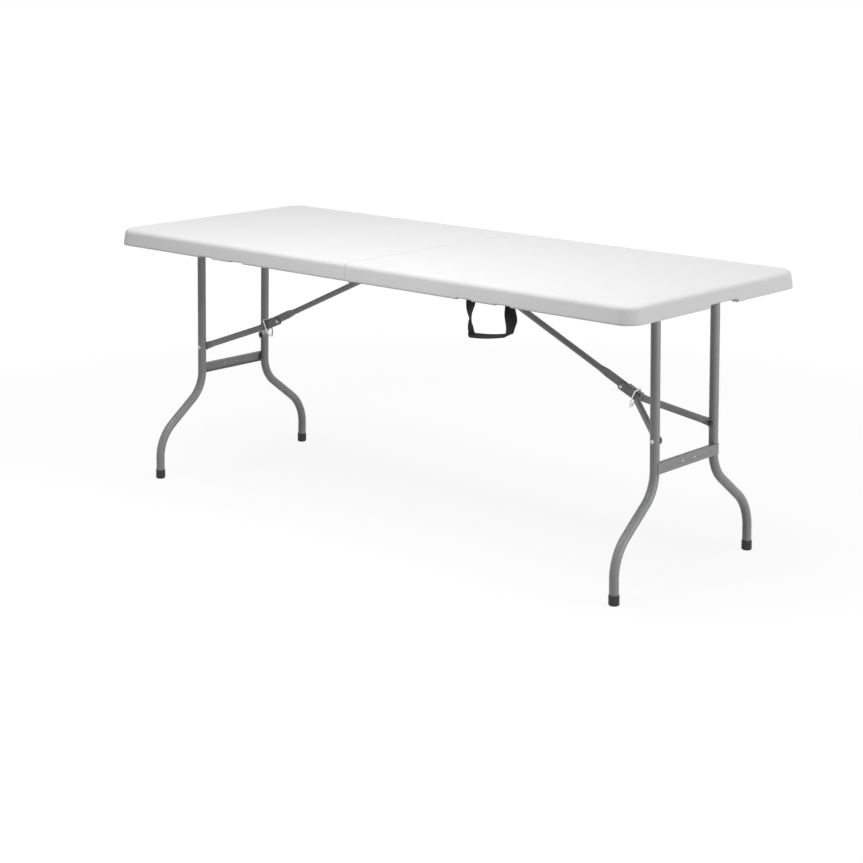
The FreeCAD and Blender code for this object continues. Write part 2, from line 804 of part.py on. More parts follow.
def arm():
    # front arm: flat tab at the knee, oval tube, flat tab beside the leg
    sheared = arm_thickness * math.sqrt(1 + arm_slope ** 2)
    tube_start = arm_tab_length + arm_flare
    tube_end = arm_foot_start - arm_foot_flare

    def section(x, y, thickness, low, high):
        radius = min(thickness, high - low) / 3
        return rounded_rectangle(V(x, -y, (low + high) / 2), thickness / 2, (high - low) / 2, radius,
                                 AXIS_Y, AXIS_Z)

    def side(x):
        return arm_tab_y + (x - arm_tab_length) * arm_slope

    half = arm_height / 2
    tab = [section(0, arm_tab_y, arm_tab_thickness, -arm_tab_fall, arm_tab_rise),
           section(arm_tab_length, arm_tab_y, arm_tab_thickness, -arm_tab_fall, arm_tab_rise)]
    bar = [section(tube_start, side(tube_start), sheared, -half, half),
           section(tube_end, side(tube_end), sheared, -half, half)]
    foot = [section(arm_foot_start, arm_foot_y, arm_foot_thickness, -arm_foot_height / 2, arm_foot_height / 2),
            section(arm_reach, arm_foot_y, arm_foot_thickness, -arm_foot_height / 2, arm_foot_height / 2)]
    body = ruled(tab + bar + foot)
    round_low = -arm_tab_y - arm_tab_thickness / 2
    knee_end = rod(arm_tab_fall, V(0, round_low, 0), V(0, round_low + arm_tab_thickness, 0))
    foot_low = -arm_foot_y - arm_foot_thickness / 2
    foot_round = rod(arm_foot_height / 2, V(arm_reach, foot_low, 0),
                     V(arm_reach, foot_low + arm_foot_thickness, 0))
    hole = rod(knee_rivet_radius + running_fit, V(0, -strut_diameter, 0), V(0, strut_diameter, 0))
    corner = block(V(-arm_tab_rise, round_low - overrun, arm_tab_fall), V(0, 0, arm_tab_rise + overrun))
    return along_arm(fused([body, knee_end, foot_round]).cut([hole, corner]))


def arm_cap():
    # domed plastic cap over the inner end of the brace rivet, on the front arm
    seat = V(arm_reach, -arm_foot_y + arm_foot_thickness / 2, 0)
    base = rod(arm_cap_radius, seat, seat + AXIS_Y * (arm_cap_height / 3))
    dome = dome_head(arm_cap_radius, arm_cap_height * 2 / 3, seat + AXIS_Y * (arm_cap_height / 3), AXIS_Y)
    return along_arm(fused([base, dome]))


def lock_ring():
    # wire loop round the overlap of blade and arms, with a pointed pull below
    half = max(strut_radius, blade_thickness / 2 + tongue_lip_reach) + ring_clearance + ring_wire / 2
    top = blade_rise + ring_clearance + ring_wire / 2
    low = -knee_offset - arm_tab_fall - ring_wire
    x = knee_along + ring_rest
    corners = [V(x, 0, top), V(x, half, top), V(x, half, low), V(x, 0, low - ring_drop),
               V(x, -half, low), V(x, -half, top)]
    edges = []
    count = len(corners)
    joints = []
    for index in range(1, count):
        corner = corners[index]
        before = corners[index - 1] - corner
        after = corners[(index + 1) % count] - corner
        before = before / before.Length
        after = after / after.Length
        half_turn = math.acos(max(-1, min(1, before.dot(after)))) / 2
        reach = ring_bend_radius / math.tan(half_turn)
        bisector = before + after
        bisector = bisector / bisector.Length
        middle = corner + bisector * (ring_bend_radius / math.sin(half_turn) - ring_bend_radius)
        joints.append((corner + before * reach, middle, corner + after * reach))
    last = corners[0]
    for entry, middle, leave in joints:
        edges.append(Part.LineSegment(last, entry).toShape())
        edges.append(Part.Arc(entry, middle, leave).toShape())
        last = leave
    edges.append(Part.LineSegment(last, corners[0]).toShape())
    path = Part.Wire(edges)
    profile = Part.Wire(Part.makeCircle(ring_wire / 2, corners[0], AXIS_Y))
    return along_strut(path.makePipeShell([profile], True, False))


# Strut brackets under the top
def strut_bracket():
    # sheet base screwed to the panel, with two ears for the strut's pin
    under = panel_under - bracket_sheet
    base_low = V(strut_pivot.x - bracket_length / 2, -bracket_width / 2, under)
    base_high = V(strut_pivot.x + bracket_length / 2, bracket_width / 2, panel_under)
    base = block(base_low, base_high)
    upright = [edge for edge in base.Edges if abs(edge.tangentAt(edge.FirstParameter).z) > running_fit]
    base = base.makeFillet(bracket_width / 8, upright)
    inner = strut_radius + bracket_gap
    outer = inner + bracket_sheet
    ear_box = block(V(strut_pivot.x - bracket_ear_length / 2, inner, strut_pivot.z),
                    V(strut_pivot.x + bracket_ear_length / 2, outer, panel_under))
    ear_round = rod(bracket_ear_drop, V(strut_pivot.x, inner, strut_pivot.z), V(strut_pivot.x, outer, strut_pivot.z))
    ear = fused([ear_box, ear_round])
    body = fused([base, ear, mirror_y(ear)])
    pin = rod(strut_pin_radius, strut_pivot - AXIS_Y * bracket_width, strut_pivot + AXIS_Y * bracket_width)
    holes = [rod(screw_radius, V(x, y, under - overrun), V(x, y, panel_under + overrun))
             for x, y in bracket_screw_places()]
    return body.cut([pin] + holes)


def bracket_screw_places():
    inset = 2 * screw_head_radius
    reach_x = bracket_length / 2 - inset
    reach_y = bracket_width / 2 - inset
    return [(strut_pivot.x + reach_x * side_x, reach_y * side_y)
            for side_x in (-1, 1) for side_y in (-1, 1)]


def bracket_screws():
    under = panel_under - bracket_sheet
    return Part.makeCompound([screw_up(x, y, under, bracket_sheet) for x, y in bracket_screw_places()])


def strut_pin():
    reach = AXIS_Y * (strut_radius + bracket_gap + bracket_sheet)
    pin = rod(strut_pin_radius, strut_pivot - reach, strut_pivot + reach)
    heads = [dome_head(strut_pin_radius + bracket_sheet, bracket_sheet, strut_pivot + reach, AXIS_Y),
             dome_head(strut_pin_radius + bracket_sheet, bracket_sheet, strut_pivot - reach, -AXIS_Y)]
    return fused([pin] + heads)


# Carrying strap
strap_face = -rail_inner
strap_line = V(0, strap_face + strap_thickness / 2, rail_bottom - strap_thickness / 2 - clearance)
strap_top = strap_line.z


def strap_section(center, normal_angle):
    # a strip's cross-section, turned about the strand
    wide = V(math.cos(normal_angle), math.sin(normal_angle), 0)
    thin = V(-math.sin(normal_angle), math.cos(normal_angle), 0)
    return rounded_rectangle(center, strap_width / 2, strap_thickness / 2, strap_thickness / 3, wide, thin)


def strand(x, turn):
    # hanging strand with a rounded upper end, that turns by a quarter from the rail to the loop
    sections = []
    for step in range(strap_twist_steps + 1):
        share = step / strap_twist_steps
        eased_share = share ** 2 * (3 - 2 * share)
        center = V(x, strap_line.y, strap_top - strap_twist_length * share)
        sections.append(strap_section(center, turn * eased_share * math.pi / 2))
    half = strap_thickness / 2
    reach = strap_width / 2 - strap_thickness / 3
    corner = V(x - reach, strap_line.y, strap_top)
    crown = Part.Wire([
        Part.Arc(corner - AXIS_Y * half, corner + AXIS_Z * half, corner + AXIS_Y * half).toShape(),
        Part.LineSegment(corner + AXIS_Y * half, corner - AXIS_Y * half).toShape(),
    ])
    return [Part.makeLoft(sections, True, False), Part.Face(crown).extrude(AXIS_X * (2 * reach))]


def strap_loop():
    # flat strip round the lower part of the loop
    low_x, high_x = strap_places()
    level = strap_top - strap_twist_length
    bottom = strap_top - strap_drop
    half = strap_thickness / 2
    bend = strap_bend_radius

    def strip(inset, radius):
        left = low_x + inset
        right = high_x - inset
        low = bottom + inset
        y = strap_line.y - strap_width / 2
        cut = radius * (1 - math.sqrt(0.5))
        return [
            Part.LineSegment(V(left, y, level), V(left, y, low + radius)),
            Part.Arc(V(left, y, low + radius), V(left + cut, y, low + cut), V(left + radius, y, low)),
            Part.LineSegment(V(left + radius, y, low), V(right - radius, y, low)),
            Part.Arc(V(right - radius, y, low), V(right - cut, y, low + cut), V(right, y, low + radius)),
            Part.LineSegment(V(right, y, low + radius), V(right, y, level)),
        ]

    outer = [curve.toShape() for curve in strip(-half, bend + half)]
    inner = [curve.toShape() for curve in strip(half, bend - half)]
    ends = [Part.LineSegment(outer[0].Vertexes[0].Point, inner[0].Vertexes[0].Point).toShape(),
            Part.LineSegment(outer[-1].Vertexes[-1].Point, inner[-1].Vertexes[-1].Point).toShape()]
    outline = Part.Wire(Part.__sortEdges__(outer + inner + ends))
    return Part.Face(outline).extrude(AXIS_Y * strap_width)


def handle_strap():
    low_x, high_x = strap_places()
    return fused([strap_loop()] + strand(low_x, -1) + strand(high_x, 1))


def handle_ends():
    # the strap's two ends, flat against the rail
    ends = []
    for x in strap_places():
        ends.append(block(V(x - strap_width / 2, strap_face, rail_bottom),
                          V(x + strap_width / 2, strap_face + strap_thickness, rail_bottom + strap_end_height)))
    return Part.makeCompound(ends)


def handle_plates():
    # clamp plates over the strap's ends
    plates = []
    face = strap_face + strap_thickness
    low = rail_bottom + (strap_end_height - clamp_plate_height) / 2
    for x in strap_places():
        plate = block(V(x - strap_width / 2, face, low),
                      V(x + strap_width / 2, face + clamp_plate_thickness, low + clamp_plate_height))
        corners = [edge for edge in plate.Edges if abs(edge.tangentAt(edge.FirstParameter).y) > running_fit]
        plates.append(plate.makeFillet(clamp_plate_height / 5, corners))
    return Part.makeCompound(plates)


def handle_screws():
    face = strap_face + strap_thickness + clamp_plate_thickness
    level = rail_bottom + strap_end_height / 2
    heads = []
    for x in strap_places():
        for side in (-1, 1):
            seat = V(x + side * strap_width / 4, face, level)
            heads.append(dome_head(screw_head_radius, screw_head, seat, AXIS_Y))
    return Part.makeCompound(heads)


# Pieces by name
def leg_frame_pieces():
    front_leg = leg()
    front_cap = foot_cap()
    pin = pivot_pin()
    rivet = leg_rivet()
    return {
        "leg_cross_tube": leg_cross_tube(),
        "leg_pivot_pins": pair_y(pin),
        "front_leg": front_leg,
        "back_leg": mirror_y(front_leg),
        "crossbar": crossbar(),
        "crossbar_rivets": crossbar_rivets(),
        "front_foot_cap": front_cap,
        "back_foot_cap": mirror_y(front_cap),
        "leg_rivets": pair_y(rivet),
    }


def brace_pieces():
    front_arm = arm()
    return {
        "strut": strut(),
        "knee_rivet": knee_rivet(),
        "front_arm": front_arm,
        "back_arm": mirror_y(front_arm),
        "arm_caps": pair_y(arm_cap()),
        "lock_ring": lock_ring(),
        "strut_bracket": strut_bracket(),
        "strut_pin": strut_pin(),
        "bracket_screws": bracket_screws(),
    }


def top_pieces():
    front_rail = rail()
    return {
        "top_half": top_half(),
        "front_rail": front_rail,
        "back_rail": mirror_y(front_rail),
        "rail_screws": rail_screws(),
    }


def hinge_pieces():
    right_leaf = hinge_leaf(inner_leaf_face, hinge_pin_radius + running_fit)
    left_leaf = mirror_x(hinge_leaf(outer_leaf_face, hinge_pin_radius))
    right_heads = hinge_rivets(inner_leaf_face + hinge_leaf_thickness, AXIS_Y)
    left_heads = [mirror_x(head) for head in hinge_rivets(-rail_inner, AXIS_Y)]
    pin = hinge_pin()
    return {
        "right_front_hinge_leaf": right_leaf,
        "right_back_hinge_leaf": mirror_y(right_leaf),
        "left_front_hinge_leaf": left_leaf,
        "left_back_hinge_leaf": mirror_y(left_leaf),
        "right_hinge_rivets": pair_y(Part.makeCompound(right_heads)),
        "left_hinge_rivets": pair_y(Part.makeCompound(left_heads)),
        "front_hinge_pin": pin,
        "back_hinge_pin": mirror_y(pin),
    }


def build():
    pieces = {}
    for group in (top_pieces(), leg_frame_pieces(), brace_pieces()):
        for name, shape in group.items():
            pieces["right_" + name] = shape
            pieces["left_" + name] = mirror_x(shape)
    pieces.update(hinge_pieces())
    pieces["handle_strap"] = handle_strap()
    pieces["handle_ends"] = handle_ends()
    pieces["handle_plates"] = handle_plates()
    pieces["handle_screws"] = handle_screws()
    return pieces


os.makedirs("parts", exist_ok=True)
for name, shape in build().items():
    shape.exportStep("parts/" + name + ".step")

print("knee", knee, "folded", knee_folded, "strut reach", strut_reach, "arm reach", arm_reach)
print("fold", math.degrees(fold_angle), "strut turn", math.degrees(strut_angle_folded - strut_angle))
print("arm turn", math.degrees(arm_angle_folded - arm_angle), "ring travel", ring_travel)
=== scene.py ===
import json
import math
import bpy
from mathutils import Matrix, Vector

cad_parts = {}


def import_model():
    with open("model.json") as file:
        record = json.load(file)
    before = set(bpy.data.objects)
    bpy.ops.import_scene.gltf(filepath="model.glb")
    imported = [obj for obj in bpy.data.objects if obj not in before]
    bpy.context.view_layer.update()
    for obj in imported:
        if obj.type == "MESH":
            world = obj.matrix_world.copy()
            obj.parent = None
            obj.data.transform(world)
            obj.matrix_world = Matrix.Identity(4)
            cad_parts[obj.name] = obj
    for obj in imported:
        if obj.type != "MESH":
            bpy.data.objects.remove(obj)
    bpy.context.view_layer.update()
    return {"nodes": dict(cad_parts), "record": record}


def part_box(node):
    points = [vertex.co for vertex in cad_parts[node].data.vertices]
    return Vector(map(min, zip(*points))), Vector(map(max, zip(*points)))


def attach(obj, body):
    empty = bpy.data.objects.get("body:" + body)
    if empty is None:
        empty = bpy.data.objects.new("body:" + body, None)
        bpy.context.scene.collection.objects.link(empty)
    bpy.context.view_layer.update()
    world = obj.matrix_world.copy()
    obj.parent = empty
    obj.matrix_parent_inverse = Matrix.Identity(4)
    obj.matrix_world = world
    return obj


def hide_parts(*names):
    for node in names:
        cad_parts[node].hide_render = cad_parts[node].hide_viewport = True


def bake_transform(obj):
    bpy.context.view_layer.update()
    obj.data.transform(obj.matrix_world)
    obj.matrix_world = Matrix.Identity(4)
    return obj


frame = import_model()

# A folding buffet table: finishes for the frame's pieces, the webbing strap, welds, floor, light and camera.
# Metres, in the frame's own axes.

# Camera, fitted to the outline of the top, the legs and the feet in a square image, its sensor in millimetres
IMAGE_PIXELS = 863
FOCAL_PIXELS = 1882.75
SENSOR_WIDTH = 36.0
CAMERA_PLACE = Vector((3.30880, -3.75398, 1.51517))
CAMERA_YAW = math.radians(41.541)
CAMERA_PITCH = math.radians(14.419)
CAMERA_ROLL = math.radians(0.254)

# In the finishes below, a noise is its scale, detail and roughness, and a relief is its depth and strength.
# A band is the stretch of a value over which a colour or a level changes.
NOISE_BAND = (0.3, 0.7)
EDGE_SAMPLES = 6
BOX_MIDDLE = (0.5, 0.5, 0.5)

# Sockets of a mix node that carry its colours
MIX_FIRST = 6
MIX_SECOND = 7
MIX_RESULT = 2

# Off-white plastic of the top
PLASTIC_TONES = (0.866, 0.882)
PLASTIC_TONE_NOISE = (7.0, 4.0, 0.5)
FLECK_TONE = 0.76
FLECK_SHARE = 0.10
FLECK_NOISE = (520.0, 1.0, 0.5)
FLECK_BAND = (0.60, 0.72)
PEBBLE_SCALE = 420.0
PEBBLE_RELIEF = (0.00022, 0.35)
PLASTIC_GRAIN_NOISE = (1500.0, 2.0, 0.5)
PLASTIC_GRAIN_RELIEF = (0.00010, 0.35)
PLASTIC_ROUGHNESS = (0.50, 0.62)
PLASTIC_SPECULAR = 0.28
LIP_SOFTNESS = 0.006
LIP_SAMPLES = 8

# Grey powder coat of the steel frame
COAT_TONES = (0.315, 0.345)
COAT_TINT = 0.008
COAT_TONE_NOISE = (22.0, 5.0, 0.6)
COAT_PEEL_NOISE = (520.0, 2.0, 0.5)
COAT_PEEL_RELIEF = (0.00016, 0.5)
COAT_EDGE = 0.0009
COAT_ROUGHNESS = (0.34, 0.44)
COAT_SPECULAR = 0.5
WORN_TONE = 0.46
WORN_SHARE = 0.8
WORN_BAND = (0.80, 0.985)
SCUFF_NOISE = (140.0, 4.0, 0.65)
SCUFF_SHARES = (0.2, 1.0)

# Zinc plate of the rivets, screws and pins, and the brighter wire of the lock rings
ZINC_TONES = (0.42, 0.54)
WIRE_TONES = (0.64, 0.78)
ZINC_TINT = 0.01
ZINC_CLOUD_NOISE = (160.0, 4.0, 0.6)
ZINC_SCRATCH_NOISE = (1800.0, 2.0, 0.5)
ZINC_SCRATCH_RELIEF = (0.00004, 0.5)
ZINC_EDGE = 0.0005
ZINC_ROUGHNESS = (0.24, 0.38)

# Black plastic of the caps, and ribs round the foot caps
CAP_TONES = (0.022, 0.040)
CAP_DUST_NOISE = (60.0, 5.0, 0.65)
CAP_GRAIN_NOISE = (1100.0, 2.0, 0.5)
CAP_GRAIN_RELIEF = (0.00010, 0.6)
CAP_EDGE = 0.0010
CAP_ROUGHNESS = (0.42, 0.60)
CAP_SPECULAR = 0.45
CAP_RIBS = 26
# The ribs' two tones are painted shade in the grooves and painted light on the crests
RIB_SHADE_AND_LIGHT_TONES = (0.016, 0.055)
RIB_BAND = (-0.6, 0.8)
RIB_RELIEF = (0.0006, 0.8)
RIB_DUST_TONE = 0.075
RIB_DUST_SHARE = 0.25
RIB_ROUGHNESS = (0.44, 0.60)

# Black yarn of the webbing
YARN_TONES = (0.016, 0.026)
YARN_TONE_NOISE = (70.0, 3.0, 0.5)
# Painted shade in the gaps between the yarns
YARN_GAP_SHADE_TONE = 0.007
YARN_FUZZ_NOISE = (2600.0, 3.0, 0.7)
YARN_FUZZ_RELIEF = (0.00008, 0.6)
WEAVE_PITCH = 0.0016
WEAVE_SHARE = 0.5
WEAVE_BAND = (-0.2, 1.2)
WEAVE_RELIEF = (0.00022, 0.9)
YARN_ROUGHNESS = 0.82
YARN_SPECULAR = 0.3
YARN_SHEEN = 0.25
YARN_SHEEN_ROUGHNESS = 0.45

# Nodes with a finish of their own, by the last word of the name
OWN_FINISHES = {"cap": "foot_cap", "ring": "ring"}

# Webbing strap: its strip, and the way it hangs, with side -1 on the left and 1 on the right
STRAP_WIDTH = 0.030
STRAP_THICKNESS = 0.0026
STRAP_BEND = 0.009
STRAP_SAG = 0.0025
STRAP_BULGE = 0.0025
STRAP_CUP = 0.005
STRAP_TILT = 0.014
STRAP_TURNS = {-1: math.radians(74), 1: math.radians(90)}
STRAP_ROLL = math.radians(100)
STRAND_ROWS = 30
CORNER_ROWS = 8
BOTTOM_ROWS = 14
SHARP_ANGLE = math.radians(60)

# Upper half of the strip's section with its thicker edges, as shares of half the width and half the thickness
SECTION_SHARES = (
    (-1.0, 0.45), (-0.97, 0.95), (-0.88, 1.0), (-0.78, 0.84), (-0.4, 0.86), (0.0, 0.86),
    (0.4, 0.86), (0.78, 0.84), (0.88, 1.0), (0.97, 0.95), (1.0, 0.45),
)

# Weld beads
BEAD_RADIUS = 0.0017
BEAD_POINTS = 48
BEAD_RIPPLES = 18
BEAD_RIPPLE_SHARE = 0.18
BEAD_ROUNDNESS = 3

# Stage: the floor glows a little less near the table than far from it
FLOOR_SIZE = 40.0
FLOOR_COLOUR = 0.55
FLOOR_GLOW = 0.90
FLOOR_KEEP_SHARE = 0.25
FLOOR_NEAR = 1.6
FLOOR_FAR = 3.6
WORLD_LIGHT = 0.07

# Soft lamps: name, place, point aimed at, size and power
LAMPS = (
    ("top_light", (0.1, -0.5, 4.1), (0.1, -0.25, 0.7), 3.2, 98.0),
    ("front_light", (0.2, -1.5, 2.2), (0.2, -0.36, 0.7), 1.0, 15.5),
    ("right_light", (6.0, 1.2, 1.1), (0.3, 0.0, 0.5), 2.2, 127.0),
)


def grey(value, tint=0.0):
    """A neutral colour, a little cooler with tint."""
    return (value * (1 - tint), value, value * (1 + tint), 1.0)


class Graph:
    """The node tree of a material or a world, with short calls to add and join nodes."""

    def __init__(self, owner):
        owner.use_nodes = True
        self.owner = owner
        self.tree = owner.node_tree

    def add(self, kind, inputs=None, **settings):
        node = self.tree.nodes.new(kind)
        for key, value in settings.items():
            setattr(node, key, value)
        for key, value in (inputs or {}).items():
            self.set(node, key, value)
        return node

    def set(self, node, key, value):
        """Joins a socket to an input of the node, or writes a plain value there."""
        if isinstance(value, bpy.types.NodeSocket):
            self.tree.links.new(value, node.inputs[key])
        else:
            node.inputs[key].default_value = value

    def place(self):
        return self.add("ShaderNodeTexCoord").outputs["Object"]

    def noise(self, noise, vector=None):
        scale, detail, roughness = noise
        inputs = {"Vector": vector or self.place(), "Scale": scale, "Detail": detail, "Roughness": roughness}
        return self.add("ShaderNodeTexNoise", inputs).outputs["Fac"]

    def range(self, value, low, high, band=NOISE_BAND, **settings):
        """Goes from low to high as the value crosses the band."""
        inputs = {"Value": value, "From Min": band[0], "From Max": band[1], "To Min": low, "To Max": high}
        return self.add("ShaderNodeMapRange", inputs, **settings).outputs["Result"]

    def math(self, operation, first, second=0.0):
        return self.add("ShaderNodeMath", {0: first, 1: second}, operation=operation).outputs[0]

    def vector(self, operation, output, first, second=(0.0, 0.0, 0.0)):
        node = self.add("ShaderNodeVectorMath", {0: first, 1: second}, operation=operation)
        return node.outputs[output]

    def mix(self, share, first, second):
        node = self.add("ShaderNodeMix", data_type="RGBA")
        self.set(node, 0, share)
        self.set(node, MIX_FIRST, first)
        self.set(node, MIX_SECOND, second)
        return node.outputs[MIX_RESULT]

    def tones(self, value, tones, tint=0.0, band=NOISE_BAND):
        """A grey that goes from the first tone to the second as the value crosses the band."""
        return self.mix(self.range(value, 0.0, 1.0, band), grey(tones[0], tint), grey(tones[1], tint))

    def soft_edge(self, radius, samples=EDGE_SAMPLES):
        """The surface's direction with its edges rounded off."""
        return self.add("ShaderNodeBevel", {"Radius": radius}, samples=samples).outputs["Normal"]

    def bump(self, height, relief, normal=None):
        depth, strength = relief
        inputs = {"Height": height, "Distance": depth, "Strength": strength}
        if normal is not None:
            inputs["Normal"] = normal
        return self.add("ShaderNodeBump", inputs).outputs["Normal"]

    def white_rays(self):
        """One for rays that show the background: from the camera, or by way of gloss or glass."""
        path = self.add("ShaderNodeLightPath").outputs
        shown = self.math("MAXIMUM", path["Is Camera Ray"], path["Is Glossy Ray"])
        return self.math("MAXIMUM", shown, path["Is Transmission Ray"])

    def finish(self, **inputs):
        """Fills in the material's main shader and gives the material back."""
        shader = self.tree.nodes["Principled BSDF"]
        for key, value in inputs.items():
            self.set(shader, key.replace("_", " "), value)
        return self.owner


def material_graph(name):
    return Graph(bpy.data.materials.new(name))


def linked(name, data):
    """A new object in the scene."""
    thing = bpy.data.objects.new(name, data)
    bpy.context.scene.collection.objects.link(thing)
    return thing


def moulded_plastic():
    """Off-white polyethylene with a fine pebble and a faint uneven tone."""
    graph = material_graph("moulded_polyethylene")
    place = graph.place()
    pebble = graph.add("ShaderNodeTexVoronoi", {"Vector": place, "Scale": PEBBLE_SCALE}, feature="SMOOTH_F1")
    grain = graph.noise(PLASTIC_GRAIN_NOISE, place)
    fleck = graph.noise(FLECK_NOISE, place)
    colour = graph.tones(graph.noise(PLASTIC_TONE_NOISE, place), PLASTIC_TONES)
    colour = graph.mix(graph.range(fleck, 0.0, FLECK_SHARE, FLECK_BAND), colour, grey(FLECK_TONE))
    normal = graph.soft_edge(LIP_SOFTNESS, LIP_SAMPLES)
    normal = graph.bump(pebble.outputs["Distance"], PEBBLE_RELIEF, normal)
    normal = graph.bump(grain, PLASTIC_GRAIN_RELIEF, normal)
    return graph.finish(Base_Color=colour, Roughness=graph.range(fleck, *PLASTIC_ROUGHNESS), Normal=normal,
                        Specular_IOR_Level=PLASTIC_SPECULAR)


def powder_coat():
    """Grey hammer-tone powder coat, rubbed a little lighter along the edges."""
    graph = material_graph("grey_powder_coat")
    place = graph.place()
    soft_edge = graph.soft_edge(COAT_EDGE)
    plain = graph.add("ShaderNodeNewGeometry").outputs["Normal"]
    flatness = graph.vector("DOT_PRODUCT", "Value", soft_edge, plain)
    tone = graph.noise(COAT_TONE_NOISE, place)
    scuff = graph.range(graph.noise(SCUFF_NOISE, place), *SCUFF_SHARES)
    worn = graph.math("MULTIPLY", graph.range(flatness, WORN_SHARE, 0.0, WORN_BAND), scuff)
    colour = graph.tones(tone, COAT_TONES, COAT_TINT)
    colour = graph.mix(worn, colour, grey(WORN_TONE, COAT_TINT))
    normal = graph.bump(graph.noise(COAT_PEEL_NOISE, place), COAT_PEEL_RELIEF, soft_edge)
    return graph.finish(Base_Color=colour, Roughness=graph.range(tone, *COAT_ROUGHNESS), Normal=normal,
                        Specular_IOR_Level=COAT_SPECULAR)


def zinc_plate(name, tones):
    """Zinc plate, clouded between two tones."""
    graph = material_graph(name)
    place = graph.place()
    cloud = graph.noise(ZINC_CLOUD_NOISE, place)
    scratch = graph.noise(ZINC_SCRATCH_NOISE, place)
    colour = graph.tones(cloud, tones, ZINC_TINT)
    normal = graph.bump(scratch, ZINC_SCRATCH_RELIEF, graph.soft_edge(ZINC_EDGE))
    return graph.finish(Base_Color=colour, Metallic=1.0, Roughness=graph.range(cloud, *ZINC_ROUGHNESS),
                        Normal=normal)


def black_plastic():
    """Black moulded caps with a little uneven dust."""
    graph = material_graph("black_cap_plastic")
    place = graph.place()
    grain = graph.noise(CAP_GRAIN_NOISE, place)
    dust = graph.noise(CAP_DUST_NOISE, place)
    normal = graph.bump(grain, CAP_GRAIN_RELIEF, graph.soft_edge(CAP_EDGE))
    return graph.finish(Base_Color=graph.tones(dust, CAP_TONES), Roughness=graph.range(dust, *CAP_ROUGHNESS),
                        Normal=normal, Specular_IOR_Level=CAP_SPECULAR)


def ribbed_plastic():
    """Black plastic with upright ribs round a foot cap."""
    graph = material_graph("ribbed_cap_plastic")
    box = graph.add("ShaderNodeTexCoord").outputs["Generated"]
    from_middle = graph.vector("SUBTRACT", "Vector", box, BOX_MIDDLE)
    parts = graph.add("ShaderNodeSeparateXYZ", {"Vector": from_middle}).outputs
    turn = graph.math("ARCTAN2", parts["Y"], parts["X"])
    rib = graph.math("SINE", graph.math("MULTIPLY", turn, float(CAP_RIBS)))
    dust = graph.noise(CAP_DUST_NOISE)
    # Painted shade in the grooves between the ribs and painted light on their crests
    colour = graph.tones(rib, RIB_SHADE_AND_LIGHT_TONES, band=RIB_BAND)
    colour = graph.mix(graph.range(dust, 0.0, RIB_DUST_SHARE), colour, grey(RIB_DUST_TONE))
    normal = graph.bump(rib, RIB_RELIEF, graph.soft_edge(CAP_EDGE))
    return graph.finish(Base_Color=colour, Roughness=graph.range(dust, *RIB_ROUGHNESS), Normal=normal,
                        Specular_IOR_Level=CAP_SPECULAR)


def webbing():
    """Black plain-woven webbing: yarns over and under each other, in ridges along the strap."""
    graph = material_graph("black_webbing")
    place = graph.add("ShaderNodeTexCoord").outputs["UV"]
    parts = graph.add("ShaderNodeSeparateXYZ", {"Vector": place}).outputs
    turn = 2 * math.pi / WEAVE_PITCH
    across = graph.math("SINE", graph.math("MULTIPLY", parts["X"], turn))
    along = graph.math("SINE", graph.math("MULTIPLY", parts["Y"], turn))
    weave = graph.math("MULTIPLY", graph.math("MULTIPLY", across, along), WEAVE_SHARE)
    height = graph.math("ADD", weave, graph.math("ABSOLUTE", across))
    lit = graph.tones(graph.noise(YARN_TONE_NOISE), YARN_TONES)
    # The gaps between the yarns get a painted shade, and the yarn tops keep their own tone
    colour = graph.mix(graph.range(height, 0.0, 1.0, WEAVE_BAND), grey(YARN_GAP_SHADE_TONE), lit)
    normal = graph.bump(height, WEAVE_RELIEF)
    normal = graph.bump(graph.noise(YARN_FUZZ_NOISE), YARN_FUZZ_RELIEF, normal)
    return graph.finish(Base_Color=colour, Roughness=YARN_ROUGHNESS, Normal=normal,
                        Specular_IOR_Level=YARN_SPECULAR, Sheen_Weight=YARN_SHEEN,
                        Sheen_Roughness=YARN_SHEEN_ROUGHNESS)


def dress_nodes(materials):
    """Gives each CAD node the finish of its slot, or its own where the last word of its name has one."""
    for part in frame["record"]["subparts"]:
        node = frame["nodes"][part["node"]]
        node.data.materials.clear()
        kind = part["node"].rsplit("_", 1)[-1]
        node.data.materials.append(materials[OWN_FINISHES.get(kind, part["material_slot"])])


def ease(share):
    """A share from 0 to 1 that starts and ends gently."""
    share = min(max(share, 0.0), 1.0)
    return share * share * (3 - 2 * share)


